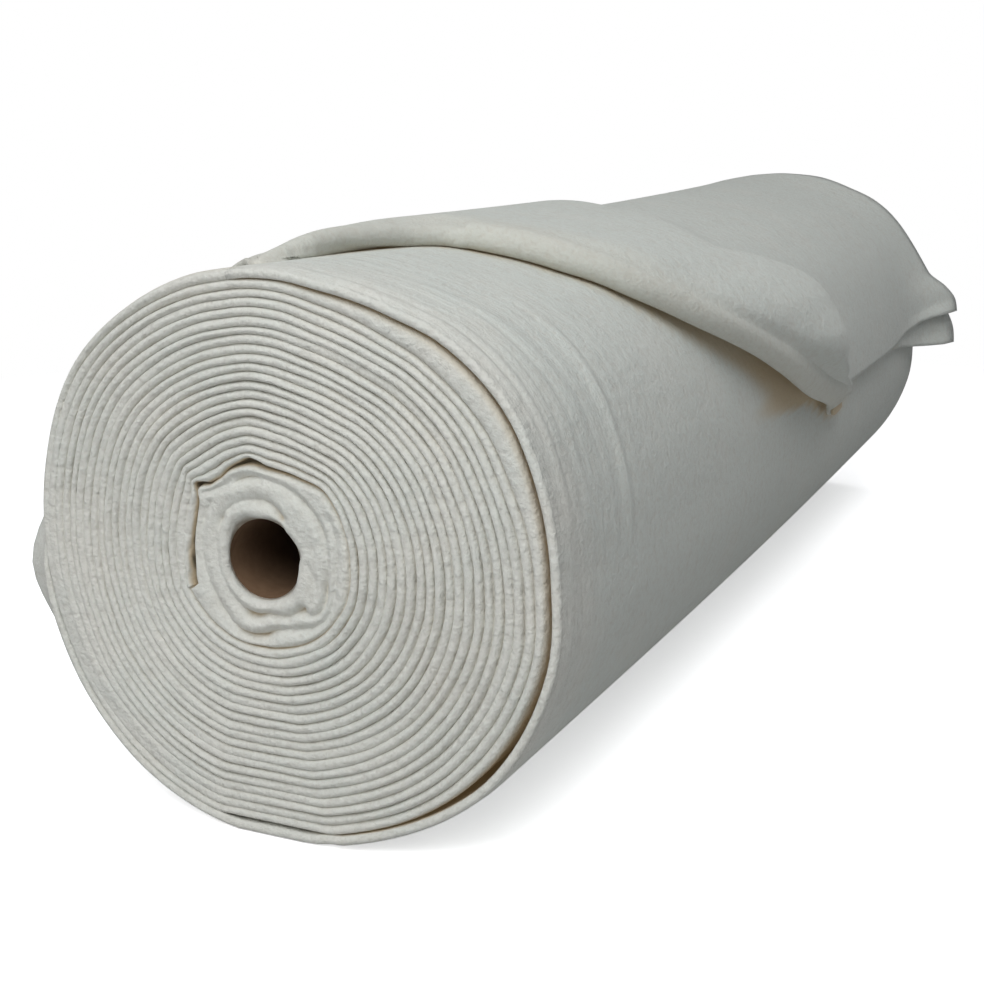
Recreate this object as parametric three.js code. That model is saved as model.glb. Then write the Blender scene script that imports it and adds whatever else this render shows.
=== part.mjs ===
// A roll of quilt batting on a paper tube, lying on its side.
// Millimetres, +Z up. The origin is on the floor, under the middle of the roll. +Y runs along the roll, from
// the open near end to the far end. The batting is folded double along its length before it is wound, so
// every turn is two layers thick, with the rounded fold at the near end and the two cut edges at the far end.

import * as THREE from 'three';

// Driving dimensions
const ROLL_LENGTH = 1143; // half of the 2286 mm wide batting
const AXIS_HEIGHT = 185; // middle of the roll above the floor
const HALF = ROLL_LENGTH / 2;

const TUBE = { bore: 25.4, wall: 3, inset: 9, sides: 48, x: -17, z: 182.5 };

const LAYER = 2.9; // thickness of one layer of batting
const LAYER_GAP = 0.7; // air between the two layers of a turn
const DOUBLE = 2 * LAYER + LAYER_GAP;
const CLEARANCE = 0.4; // least air between pieces that touch
const UNDER_GAP = 1.9; // air between the wound part and the turn it presses on the floor

const FAR_TOP_RISE = 5.5; // how much fuller the top of the roll is at the far end than at the near end
const TOP_SAG = 4.9; // how far its top sinks in the middle
const SIDE_SWELL = 4; // how far its sides swell out in the middle
const START_ANGLE = 95; // where the last turn leaves the roll

// Angles are in degrees round the roll, seen from the near end: 0 is the right side and 90 is the top.
// Outline of the tightly wound part. The batting winds clockwise, so the outline steps down by one turn
// just past the place where the last turn leaves it.
const ROLL_OUTLINE = [
  { angle: -260, radius: 177 },
  { angle: -250, radius: 177.2 },
  { angle: -235, radius: 183.5 },
  { angle: -215, radius: 188 },
  { angle: -193, radius: 185 },
  { angle: -160, radius: 182 },
  { angle: -115, radius: 180.5 },
  { angle: -90, radius: 178.5 },
  { angle: -70, radius: 174.5 },
  { angle: -45, radius: 172 },
  { angle: -15, radius: 175.5 },
  { angle: 3, radius: 173 },
  { angle: 19, radius: 174.5 },
  { angle: 36, radius: 177.5 },
  { angle: 52, radius: 174.5 },
  { angle: 64, radius: 169 },
  { angle: 79, radius: 166.5 },
  { angle: 90, radius: 169 },
  { angle: 100, radius: 170.9 },
];

// End of the tightly wound part, from the tube out to the rim: share of the way out, and depth of the face
// behind the end of the roll. The turns round the tube are puffed out, the ones beyond lie a little deeper.
const END_FACE = [
  { share: 0, depth: 11 },
  { share: 0.03, depth: 3 },
  { share: 0.09, depth: 0.5 },
  { share: 0.24, depth: 3 },
  { share: 0.98, depth: 3 },
  { share: 1, depth: 7 },
];

// The last turn and the free end, by how many degrees the cloth has travelled since it left the roll.
// gap: air under the cloth.    back: how far its near edge, or its near fold, lies behind the near end.
const LAST_TURN = [
  { turned: 0, gap: 1.4, back: 0 },
  { turned: 16, gap: 1.4, back: 0 },
  { turned: 44, gap: 1.6, back: 0 },
  { turned: 77, gap: 2.6, back: 0 },
  { turned: 111, gap: 4, back: 0 },
  { turned: 141, gap: 8, back: 0 },
  { turned: 166, gap: 4, back: 0 },
  { turned: 181, gap: 1.4, back: 0 },
  { turned: 211, gap: 4, back: 0 },
  { turned: 241, gap: 8, back: 3 },
  { turned: 254, gap: 15, back: 9 },
  { turned: 266, gap: 25, back: 17 },
  { turned: 282, gap: 15, back: 38 },
  { turned: 296, gap: 7, back: 55 },
  { turned: 314, gap: 2, back: 62 },
  { turned: 330, gap: 1.4, back: 50 },
  { turned: 345, gap: 1.4, back: 18 },
  { turned: 357, gap: 1.4, back: 21 },
  { turned: 360, gap: 1.4, back: 120 },
  { turned: 364, gap: 1.4, back: 190 },
  { turned: 370, gap: 1.4, back: 212 },
  { turned: 385, gap: 1.4, back: 226 },
  { turned: 405, gap: 1.4, back: 269 },
  { turned: 419, gap: 1.4, back: 339 },
  { turned: 433, gap: 1.4, back: 449 },
  { turned: 451, gap: 1.4, back: 631 },
];

// The near corner of the free end is turned under, which leaves a slanting, puffed-out near fold.
// curl: degrees the near edge is bent round, 180 where it lies flat against the underside.
// tuck: share of the room under the raised part that the turned-under cloth takes up.
// loop: clear height inside the fold.    crest: height of the top of the raised part.
// crestAt, levelTo, foot: where, behind the near fold, that top is reached, ends, and has come down.
const TURNED_UNDER = [
  { turned: 300, curl: 0, tuck: 0, loop: 8, crest: 6.5, crestAt: 95, levelTo: 300, foot: 450 },
  { turned: 330, curl: 0, tuck: 0, loop: 8, crest: 7.5, crestAt: 95, levelTo: 330, foot: 470 },
  { turned: 345, curl: 0, tuck: 0, loop: 8, crest: 12, crestAt: 95, levelTo: 420, foot: 530 },
  { turned: 357, curl: 0, tuck: 0, loop: 8, crest: 18, crestAt: 95, levelTo: 445, foot: 560 },
  { turned: 360, curl: 180, tuck: 0, loop: 10, crest: 18.5, crestAt: 40, levelTo: 345, foot: 461 },
  { turned: 364, curl: 180, tuck: 1, loop: 11, crest: 19, crestAt: 45, levelTo: 275, foot: 391 },
  { turned: 370, curl: 180, tuck: 1, loop: 12, crest: 19, crestAt: 50, levelTo: 252, foot: 369 },
  { turned: 385, curl: 180, tuck: 1, loop: 14, crest: 22, crestAt: 50, levelTo: 235, foot: 355 },
  { turned: 395, curl: 180, tuck: 1, loop: 15, crest: 24, crestAt: 60, levelTo: 215, foot: 330 },
  { turned: 405, curl: 180, tuck: 1, loop: 15, crest: 28, crestAt: 125, levelTo: 190, foot: 292 },
  { turned: 412, curl: 180, tuck: 1, loop: 15, crest: 33, crestAt: 165, levelTo: 185, foot: 268 },
  { turned: 419, curl: 180, tuck: 1, loop: 15, crest: 33, crestAt: 155, levelTo: 172, foot: 240 },
  { turned: 426, curl: 180, tuck: 1, loop: 14, crest: 29, crestAt: 115, levelTo: 130, foot: 195 },
  { turned: 433, curl: 180, tuck: 1, loop: 12, crest: 24, crestAt: 62, levelTo: 75, foot: 130 },
  { turned: 440, curl: 180, tuck: 1, loop: 10, crest: 18, crestAt: 28, levelTo: 35, foot: 85 },
  { turned: 451, curl: 180, tuck: 1, loop: 9, crest: 16.5, crestAt: 20, levelTo: 24, foot: 70 },
];

// over: how far the cloth passes the far end of the roll.    lift: how far its edge there stands off.
const FAR_EDGE = [
  { turned: 296, over: 0, lift: 0 },
  { turned: 357, over: 8, lift: 2 },
  { turned: 385, over: 14, lift: 11 },
  { turned: 405, over: 18, lift: 11 },
  { turned: 419, over: 19, lift: 9 },
  { turned: 433, over: 19, lift: 15 },
  { turned: 442, over: 21, lift: 27 },
  { turned: 451, over: 22, lift: 34 },
];

const STUB = 8; // cloth between the near bend and the cloth's own edge, where nothing is turned under
const HEM_SHARE = 0.3; // how far down the fall of the raised part the turned-under cloth ends
const NOSE_BENDS = 4; // straight pieces in the near bend
const FAR_LIFT_REACH = 150; // length over which the far edge lifts
const BULGE_FADE = 0.7; // share of the air under the cloth that is left at the far end

// The free end's edge, in degrees round the roll: at its far corner the upper layer draws back and the
// lower one runs on, and at its near corner the turned-under fold runs on.
const FREE_EDGE = { upper: 7, lower: -3.5, fold: -3.5, cornerReach: 220, turned: 24 };
const LAST_TURNED = LAST_TURN[LAST_TURN.length - 1].turned;
const FULL_TURN = START_ANGLE - ROLL_OUTLINE[0].angle; // travelled when the cloth first covers itself

const SECTIONS = [
  { until: 345, step: 7.5 },
  { until: LAST_TURNED, step: 4.8 },
];
const ROLL_SIDES = 76;
const ROLL_STATIONS = [0.25, 0.5, 0.75]; // where the wound part's outline is worked out, along its length

const radians = THREE.MathUtils.degToRad;
const mix = THREE.MathUtils.lerp;
const smooth = (value) => THREE.MathUtils.smoothstep(value, 0, 1);

// Reads a table at any point between its rows, on a smooth curve that never overshoots a row.
function readTable(rows, key, at, column) {
  let i = 0;
  while (i < rows.length - 2 && rows[i + 1][key] <= at) i += 1;
  const slope = (j) => {
    const span = rows[j + 1][key] - rows[j][key];
    return (rows[j + 1][column] - rows[j][column]) / span;
  };
  const tangent = (j) => {
    if (j === 0 || j === rows.length - 1) return 0;
    const before = slope(j - 1);
    const after = slope(j);
    return before * after <= 0 ? 0 : (2 * before * after) / (before + after);
  };
  const span = rows[i + 1][key] - rows[i][key];
  const t = THREE.MathUtils.clamp((at - rows[i][key]) / span, 0, 1);
  const rest = 1 - t;
  return rows[i][column] * (1 + 2 * t) * rest * rest
    + tangent(i) * span * t * rest * rest
    + rows[i + 1][column] * t * t * (3 - 2 * t)
    - tangent(i + 1) * span * t * t * rest;
}

// Radius of the wound part. Its angle is brought into the table's turn, which starts at the step.
function rollRadius(angle, y) {
  const first = ROLL_OUTLINE[0].angle;
  const wrapped = THREE.MathUtils.euclideanModulo(angle - first, 360) + first;
  const along = THREE.MathUtils.clamp((y + HALF) / ROLL_LENGTH, 0, 1);
  const middle = Math.sin(Math.PI * along);
  const top = Math.max(0, Math.sin(radians(angle))) ** 1.5;
  const topChange = FAR_TOP_RISE * along ** 2 - TOP_SAG * middle;
  const uneven = mix(SIDE_SWELL * middle, topChange, top);
  return readTable(ROLL_OUTLINE, 'angle', wrapped, 'radius') + uneven;
}

// A radius cut back so that the surface there stays this high above the floor: the roll's weight
// presses it flat where it rests.
function flattened(radius, angle, height) {
  const down = -Math.sin(radians(angle));
  return down > 0.5 ? Math.min(radius, (AXIS_HEIGHT - height) / down) : radius;
}

function aroundRoll(angle, radius, y) {
  const turn = radians(angle);
  return new THREE.Vector3(radius * Math.cos(turn), y, AXIS_HEIGHT + radius * Math.sin(turn));
}

// Joins rings of points into one closed skin, with each facet split along its shorter diagonal. Rings run
// along the cloth or round the roll. A skin that isn't a full round gets a flat cap at each end, worked out
// from the flat section of that end.
function skin(rings, capSections) {
  const count = rings[0].length;
  const positions = rings.flatMap((ring) => ring.flatMap((point) => point.toArray()));
  const indices = [];
  const lastRing = capSections ? rings.length - 1 : rings.length;
  for (let i = 0; i < lastRing; i += 1) {
    const here = i * count;
    const next = ((i + 1) % rings.length) * count;
    for (let j = 0; j < count; j += 1) {
      const k = (j + 1) % count;
      const nextRing = rings[(i + 1) % rings.length];
      const oneWay = rings[i][k].distanceTo(nextRing[j]);
      const otherWay = rings[i][j].distanceTo(nextRing[k]);
      const [a, b, c, d] = [here + j, next + j, next + k, here + k];
      if (oneWay <= otherWay) indices.push(a, b, d, d, b, c);
      else indices.push(a, b, c, a, c, d);
    }
  }
  if (capSections) {
    const addCap = (section, base, flip) => {
      THREE.ShapeUtils.triangulateShape(section, []).forEach(([a, b, c]) => {
        if (flip) indices.push(base + a, base + c, base + b);
        else indices.push(base + a, base + b, base + c);
      });
    };
    addCap(capSections[0], 0, false);
    addCap(capSections[1], (rings.length - 1) * count, true);
  }
  const geometry = new THREE.BufferGeometry();
  geometry.setAttribute('position', new THREE.Float32BufferAttribute(positions, 3));
  geometry.setIndex(indices);
  return geometry;
}

function tubeGeometry() {
  const outer = TUBE.bore + TUBE.wall;
  const end = HALF - TUBE.inset;
  const profile = [[TUBE.bore, -end], [outer, -end], [outer, end], [TUBE.bore, end], [TUBE.bore, -end]];
  const geometry = new THREE.LatheGeometry(profile.map(([x, y]) => new THREE.Vector2(x, y)), TUBE.sides);
  return geometry.translate(TUBE.x, 0, TUBE.z);
}

// The tightly wound part: round the tube on the inside, its own uneven outline on the outside.
function woundRollGeometry() {
  const hole = (TUBE.bore + TUBE.wall + CLEARANCE) / Math.cos(Math.PI / TUBE.sides);
  const first = ROLL_OUTLINE[0].angle;
  const nearEnd = END_FACE.map(({ share, depth }) => ({ share, y: depth - HALF }));
  const farEnd = END_FACE.map(({ share, depth }) => ({ share, y: HALF - depth })).reverse();
  const between = ROLL_STATIONS.map((along) => ({ share: 1, y: mix(-HALF, HALF, along) }));
  const profile = [...nearEnd, ...between, ...farEnd].reverse();
  const rings = [];
  for (let side = 0; side < ROLL_SIDES; side += 1) {
    const angle = first + (side * 360) / ROLL_SIDES;
    const turn = radians(angle);
    rings.push(profile.map(({ share, y }) => {
      const inside = new THREE.Vector3(TUBE.x + hole * Math.cos(turn), y, TUBE.z + hole * Math.sin(turn));
      const radius = flattened(rollRadius(angle, y), angle, DOUBLE + UNDER_GAP);
      return inside.lerp(aroundRoll(angle, radius, y), share);
    }));
  }
  return skin(rings);
}

// Middle line of the doubled cloth across its width, at one place along its length: distance from the
// near end of the roll, and height above what it lies on. It starts at the cloth's own near edge, runs
// round the near bend, and goes over the raised part to the far edge.
function clothPath(row) {
  const bendLength = (Math.PI * row.loop) / 2;
  const curl = Math.max(radians(row.curl), 0.001);
  const bend = bendLength / curl;
  const room = mix(row.levelTo, row.foot, HEM_SHARE);
  const stub = STUB + row.tuck * Math.max(0, room - STUB);
  const reach = curl < Math.PI / 2 ? bend * Math.sin(curl) + stub * Math.cos(curl) : bend;
  const top = DOUBLE / 2 + bend * (1 - Math.cos(curl)) + stub * Math.sin(curl);
  const bendTop = row.back + DOUBLE / 2 + reach;
  const path = [];
  for (let i = 0; i <= NOSE_BENDS; i += 1) {
    const turn = (curl * i) / NOSE_BENDS;
    path.unshift([bendTop - bend * Math.sin(turn), top - bend * (1 - Math.cos(turn))]);
  }
  const [bendEnd, bendHeight] = path[0];
  path.unshift([bendEnd - stub * Math.cos(curl), bendHeight - stub * Math.sin(curl)]);

  const crest = Math.max(row.crest - DOUBLE / 2, top);
  const far = ROLL_LENGTH + row.over;
  path.push([row.back + row.crestAt, crest]);
  path.push([row.back + row.levelTo, crest]);
  path.push([row.back + row.foot, DOUBLE / 2]);
  path.push([mix(row.back + row.foot, far - FAR_LIFT_REACH, 0.5), DOUBLE / 2]);
  path.push([far - FAR_LIFT_REACH, DOUBLE / 2]);
  path.push([far - FAR_LIFT_REACH / 2, DOUBLE / 2 + row.lift / 4]);
  path.push([far, DOUBLE / 2 + row.lift]);
  return path.map(([y, height]) => new THREE.Vector2(y, height));
}

// The path moved sideways: one face of one layer. Each point keeps its layer's name, and how much of the
// near bend's shift it takes, which is all of it as far as the bend and none past its top.
function layerFace(path, distance, layer) {
  return path.map((point, i) => {
    const before = path[Math.max(i - 1, 0)];
    const after = path[Math.min(i + 1, path.length - 1)];
    const along = after.clone().sub(before).normalize();
    const side = new THREE.Vector2(-along.y, along.x);
    const inFold = THREE.MathUtils.clamp(1 - (i - 1) / NOSE_BENDS, 0, 1);
    return { point: point.clone().addScaledVector(side, distance), layer, inFold };
  });
}

// Closed section of the doubled cloth: the upper layer's outer face, the rounded near fold, the lower
// layer's outer face, and back through the gap between the two layers.
function clothSection(row) {
  const path = clothPath(row);
  const outwards = path[0].clone().sub(path[1]).normalize();
  const fold = (distance) => [
    { point: path[0].clone().addScaledVector(outwards, distance), layer: 'upper', inFold: 1 },
  ];
  return [
    ...layerFace(path, DOUBLE / 2, 'upper').reverse(),
    ...fold(DOUBLE / 2),
    ...layerFace(path, -DOUBLE / 2, 'lower'),
    ...layerFace(path, -LAYER_GAP / 2, 'lower').reverse(),
    ...fold(LAYER_GAP / 2),
    ...layerFace(path, LAYER_GAP / 2, 'upper'),
  ];
}

// How far the free end's edge is moved round the roll at this point, in degrees.
function edgeShift(turned, { point, layer, inFold }) {
  const nearEdge = smooth((turned - LAST_TURNED) / FREE_EDGE.turned + 1);
  const corner = smooth((point.x - ROLL_LENGTH) / FREE_EDGE.cornerReach + 1);
  return nearEdge * (FREE_EDGE[layer] * corner + FREE_EDGE.fold * inFold);
}

function sectionTurns() {
  const turns = [0];
  SECTIONS.forEach(({ until, step }) => {
    const from = turns[turns.length - 1];
    const count = Math.round((until - from) / step);
    for (let i = 1; i <= count; i += 1) turns.push(mix(from, until, i / count));
  });
  return turns;
}

function clothRow(turned) {
  const row = {};
  [LAST_TURN, TURNED_UNDER, FAR_EDGE].forEach((table) => {
    Object.keys(table[0]).forEach((column) => {
      if (column !== 'turned') row[column] = readTable(table, 'turned', turned, column);
    });
  });
  return row;
}

// Radius of what the cloth lies on: the roll, or from the second time round its own first turn.
function supportRadius(turned, angle, y) {
  const roll = rollRadius(angle, y);
  return turned < FULL_TURN ? roll : roll + readTable(LAST_TURN, 'turned', turned - 360, 'gap') + DOUBLE;
}

function looseEndGeometry() {
  const sections = [];
  const rings = sectionTurns().map((turned) => {
    const row = clothRow(turned);
    const section = clothSection(row);
    sections.push(section.map(({ point }) => point));
    return section.map((corner) => {
      const { point } = corner;
      const y = point.x - HALF;
      const angle = START_ANGLE - turned + edgeShift(turned, corner);
      const air = Math.max(CLEARANCE, row.gap * mix(1, BULGE_FADE, point.x / ROLL_LENGTH));
      const radius = supportRadius(turned, angle, y) + air + point.y;
      return aroundRoll(angle, turned < FULL_TURN ? flattened(radius, angle, DOUBLE - point.y) : radius, y);
    });
  });
  return skin(rings.reverse(), [sections[sections.length - 1], sections[0]]);
}

const batting = { color: 0xdfded4, roughness: 0.95, metalness: 0 };
const paperboard = { color: 0x9a7a58, roughness: 0.85, metalness: 0 };

function piece(name, geometry, finish) {
  const mesh = new THREE.Mesh(geometry, new THREE.MeshStandardMaterial(finish));
  mesh.name = name;
  return mesh;
}

const battingRoll = new THREE.Group();
battingRoll.add(piece('core_tube', tubeGeometry(), paperboard));
battingRoll.add(piece('wound_roll', woundRollGeometry(), batting));
battingRoll.add(piece('loose_end', looseEndGeometry(), batting));

export default battingRoll;
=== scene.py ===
"""A roll of quilt batting on a paper tube, lying on its side, with its loose end laid back over the top.

Metres, +Z up. The origin is on the floor, under the middle of the roll. +Y runs along the roll, from the open
near end to the far end. The tables hold millimetres, and angles in degrees round the roll, seen from the near
end: 0 is the right side and 90 is the top.
"""

import math

import bmesh
import bpy
from bpy.props import FloatProperty, FloatVectorProperty, IntProperty, PointerProperty
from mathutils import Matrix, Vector, noise


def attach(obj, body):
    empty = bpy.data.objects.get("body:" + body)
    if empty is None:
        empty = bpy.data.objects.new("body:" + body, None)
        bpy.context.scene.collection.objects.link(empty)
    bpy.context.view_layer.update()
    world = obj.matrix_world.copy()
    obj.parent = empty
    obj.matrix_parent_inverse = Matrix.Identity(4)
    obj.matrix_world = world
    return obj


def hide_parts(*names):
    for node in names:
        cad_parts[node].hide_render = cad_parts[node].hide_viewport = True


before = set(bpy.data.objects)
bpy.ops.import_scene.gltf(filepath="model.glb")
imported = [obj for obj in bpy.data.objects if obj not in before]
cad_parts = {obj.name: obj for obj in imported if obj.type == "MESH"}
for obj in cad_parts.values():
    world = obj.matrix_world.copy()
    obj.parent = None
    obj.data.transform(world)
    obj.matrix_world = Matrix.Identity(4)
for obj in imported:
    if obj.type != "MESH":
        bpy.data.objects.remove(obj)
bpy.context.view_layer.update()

bl_info = {
    "name": "Batting roll",
    "version": (1, 0, 0),
    "blender": (4, 5, 0),
    "location": "3D View > Sidebar > Batting",
    "description": "Builds a roll of quilt batting on its paper tube",
    "category": "Add Mesh",
}

MM = 0.001
ROLL_LENGTH = 1143
HALF = ROLL_LENGTH / 2
AXIS_HEIGHT = 185
TUBE_X = -17
TUBE_Z = 182.5
FAR_TOP_RISE = 5.5
TOP_SAG = 4.9
SIDE_SWELL = 4
PLY_PITCH = 75  # along the tube, for one turn of its outer ply
START_ANGLE = 95  # where the loose end leaves the roll
UNDER_GAP = 1.9
DOUBLED = 6.5  # thickness of the doubled batting under the roll
WHITE = (1, 1, 1, 1)


def table(columns, *rows):
    """Rows of a table, each as a dictionary of its named columns."""
    return [dict(zip(columns.split(), row)) for row in rows]


# Outline of the tightly wound part, with the step where the last turn leaves it.
ROLL_OUTLINE = table(
    "angle radius",
    (-260, 178.5), (-250, 181), (-235, 184), (-215, 188), (-193, 185), (-175, 184), (-160, 184.5),
    (-146, 187), (-130, 187.5), (-115, 186.3), (-90, 181), (-70, 177), (-45, 176.3), (-15, 175.7),
    (3, 172), (19, 173.4), (36, 176.3), (52, 173.4), (64, 168), (79, 166), (90, 169), (100, 170.9),
)
FIRST_ANGLE = ROLL_OUTLINE[0]["angle"]
STEP_ANGLE = ROLL_OUTLINE[-1]["angle"]

# The near end round the tube, by degrees clockwise from the coil's start: radius of the mouth, and of the
# coil with and without its folds, and how deep and how open the gap before the coil is.
CORE = table(
    "turned mouth coil plain pit gap",
    (0, 24.6, 54, 53, 12, 1.6),
    (13, 24.2, 51.6, 52, 12, 1.2),
    (23, 23.8, 50.5, 51.5, 10, 0.9),
    (33, 24, 50.3, 51.5, 8, 0.6),
    (43, 24.4, 51, 53, 7, 0.5),
    (57, 26.4, 54.4, 56.5, 7, 0.5),
    (63, 27.5, 58, 58.2, 8, 0.7),
    (67, 28.3, 62.6, 59, 10, 1),
    (70, 28.8, 61, 59.2, 9, 0.8),
    (76, 29.1, 57.3, 59.4, 7, 0.5),
    (84, 29.1, 56.9, 59.6, 6, 0.4),
    (92, 29, 59.3, 60.2, 7, 0.5),
    (99, 28, 60.6, 61.3, 9, 0.7),
    (107, 27, 61.8, 62.2, 11, 1.4),
    (113, 26.8, 60.5, 61.3, 10, 0.9),
    (120, 27.2, 58.9, 60.4, 8, 0.5),
    (130, 28.4, 59.5, 60.5, 7, 0.5),
    (143, 28.8, 61.8, 62, 7, 0.4),
    (158, 26.8, 66, 64.5, 6, 0.3),
    (173, 27.4, 65, 64.5, 5, 0),
    (188, 28.6, 63.5, 63.3, 4.5, 0),
    (203, 26.4, 62.5, 62.5, 4.5, 0),
    (218, 26.2, 62.5, 61.5, 4.5, 0),
    (233, 27, 61, 60.5, 4.5, 0),
    (248, 28.2, 59.5, 59.5, 5, 0),
    (263, 26.8, 57.5, 57.5, 5, 0.2),
    (278, 26.4, 56.5, 56.5, 5.5, 0.2),
    (293, 26.2, 56, 56, 5.5, 0.2),
    (308, 26, 56.5, 56.5, 5, 0),
    (323, 25.6, 57, 57, 5, 0),
    (348, 25, 57.5, 57.5, 4.5, 0),
    (360, 24.6, 58.5, 58.5, 5, 0),
)

# Creases between the folds round the mouth, with their depth and half width.
LIP_CREASE = table(
    "x z depth width",
    (-1, 210.5, 6.8, 6.7), (-5, 215.5, 5.4, 6.7), (-9, 219, 4.8, 6.7), (-15, 221, 4, 7.3),
    (-22, 220.5, 3.8, 7.3), (-30, 219, 3, 7.3), (-36, 216, 2.5, 6.7), (-42, 211, 3, 6.2),
    (-45, 206, 5.4, 6.2), (-48, 199, 2.5, 6.2), (-49, 190, 2, 6.7), (-48, 180, 1.9, 6.7),
    (-46, 172, 1.9, 6.7), (-42, 163, 2.2, 6.7), (-37, 156, 2.8, 6.7), (-32, 150.5, 4, 6.7),
    (-27, 147, 7.5, 7.8), (-21, 146.3, 7.5, 6.7), (-14, 148.3, 5.4, 6.7), (-5, 148.2, 4.8, 6.7),
    (2, 149, 4.4, 6.7), (7, 152, 4.8, 6.2), (11.5, 154.5, 7.5, 6.7),
)
BAND_CREASE = table(
    "x z depth width",
    (-33, 231, 4.7, 6.7), (-28, 233.5, 5.5, 6.7), (-20, 234.8, 4.7, 6.2), (-10, 234, 2.3, 6.2),
    (0, 231.5, 3.2, 5), (8, 227.5, 4.2, 5), (15, 222.5, 4.2, 5), (20, 217, 3.9, 5), (25, 210, 4.2, 5.6),
    (28.5, 202, 3.5, 5.6), (30, 190, 2.2, 6.2), (29, 180, 2.9, 6.2), (28.5, 172, 5.5, 5.6),
    (28, 164, 5.5, 5.6), (26, 157.5, 4.7, 5.6), (22, 153, 4.3, 5.6), (17, 151.5, 3.9, 5.6),
    (12, 153.5, 5.9, 6.2),
)
OUTER_CREASE = table(
    "x z depth width",
    (-52, 216, 2.7, 5.9), (-57, 207, 2.7, 5.9), (-60, 196, 2.3, 6.5), (-60, 184, 2.3, 6.5),
    (-58, 172, 2.7, 6.5), (-53, 160, 3.1, 6.5), (-47, 149, 3.2, 6.5), (-40, 140, 3.9, 6.5),
    (-33, 134.7, 5.9, 6.5), (-25, 133, 6.6, 6.5), (-16, 134.3, 7.5, 6.5), (-9, 138, 5.1, 6.5),
    (0, 140.3, 3.6, 6.5), (10, 141.5, 3.6, 6.5), (20, 144.5, 4.2, 6.5), (27, 149.5, 3.6, 6.5),
    (32, 157, 2.9, 6.5), (34.5, 167, 2.6, 6.5), (36, 180, 2.2, 5.9), (37, 192, 2.2, 5.9),
    (36, 203, 2.3, 5.9), (32, 213, 2.3, 5.9),
)
LEDGE = table(
    "x z depth width",
    (-57, 221.5, 2.6, 5), (-48, 225, 3.2, 6.5), (-39, 229, 3.4, 6), (-33, 234, 2.6, 4.5),
)
DENT = table("x z depth width", (17, 183, 1.2, 6), (22, 174, 2, 7.5), (22, 164, 1.6, 7))
NICK = table("x z depth width", (-54.5, 171.5, 2.2, 1.8), (-53, 170.5, 2.2, 1.8))
CREASES = (LIP_CREASE, BAND_CREASE, OUTER_CREASE, LEDGE, DENT, NICK)

# How much wider than the rest the outermost wound turn is.
WIDE_TURN = table(
    "angle extra",
    (-260, 0.35), (-205, 0.12), (-70, 0.1), (-30, 0.15), (0, 0.3), (12, 0.65), (27, 1.3), (45, 1.6),
    (62, 1.1), (88, 0.1), (100, 0),
)

# The last turn and the free end, by the degrees that the cloth has turned since it left the roll.
LAST_TURN = table(
    "turned gap back",
    (-6, 1, 1.2), (0, 1, 1.2), (16, 1.9, 0), (44, 2.7, 0), (77, 3.6, 0), (111, 3.8, 0), (136, 4.8, 0),
    (148, 3, 0), (162, 1.1, 0), (181, 0.5, 0), (211, 1.5, 0), (241, 4, 1), (254, 11, 0.5), (266, 23, 2),
    (280, 11, 20), (296, 4, 55), (314, 2, 72), (330, 1.4, 76), (345, 1.4, 60), (357, 1.4, 24),
    (360, 1.4, 120), (364, 1.4, 190), (370, 1.4, 212), (385, 1.4, 226), (405, 1.4, 258),
    (419, 1.4, 310), (433, 1.4, 408), (442, 1.4, 496), (451, 1.4, 614),
)

# The near corner of the free end is turned under, which leaves a slanting, puffed-out near fold.
TURNED_UNDER = table(
    "turned curl tuck loop crest crest_at level_to foot",
    (300, 0, 0, 8, 6.5, 135, 300, 450),
    (330, 0, 0, 8, 7.5, 110, 330, 470),
    (345, 0, 0, 8, 12, 130, 420, 530),
    (357, 0, 0, 8, 18, 165, 445, 560),
    (360, 180, 0, 10, 18.5, 40, 345, 461),
    (364, 180, 1, 11, 19, 45, 275, 391),
    (370, 180, 1, 12, 19, 50, 252, 369),
    (385, 180, 1, 14, 22, 50, 235, 355),
    (395, 180, 1, 15, 26, 55, 190, 330),
    (405, 180, 1, 15, 30, 85, 160, 292),
    (412, 180, 1, 15, 36, 180, 195, 282),
    (419, 180, 1, 15, 44, 195, 203, 276),
    (426, 180, 1, 15, 49, 165, 172, 243),
    (433, 180, 1, 15, 49, 112, 119, 190),
    (440, 180, 1, 14, 39, 62, 70, 135),
    (451, 180, 1, 10, 19, 24, 30, 80),
)

FAR_EDGE = table(
    "turned over lift",
    (296, 0, 0), (357, 8, 2), (385, 14, 11), (405, 18, 11), (419, 19, 9), (433, 19, 15), (442, 29, 30),
    (447, 35, 37), (451, 24, 40),
)

STUB = 8
HEM_SHARE = 0.3
FAR_LIFT_REACH = 150  # how far from the far edge its lift starts
BULGE_FADE = 0.7
BULGE_START = 176
BULGE_END = 320
BULGE_OPENS = 20  # how far in from its edge the cloth has left the roll
EDGE_UPPER = 4.5  # degrees that the free end's two layers are moved apart at the far corner
EDGE_LOWER = -5
EDGE_REACH = 220
EDGE_TURNED = 24
LAST_TURNED = 451
FULL_TURN = START_ANGLE - FIRST_ANGLE
MOST_STRETCH = 4

# Soft ridges in the last turn, beside its near edge: angle and place behind the near end at both ends.
RIDGES = table(
    "from_angle from_back to_angle to_back height width",
    (92, 15, 24, 12, 1.8, 4.5),
    (88, 28, 10, 23, 2.4, 5),
    (86, 41, 4, 36, 2.2, 5.5),
    (78, 54, 8, 53, 2.4, 6),
    (72, 70, 22, 74, 1.8, 7),
    (62, 124, 0, 112, 3.4, 6.5),
    (50, 152, 20, 147, 1.5, 8),
)

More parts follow.
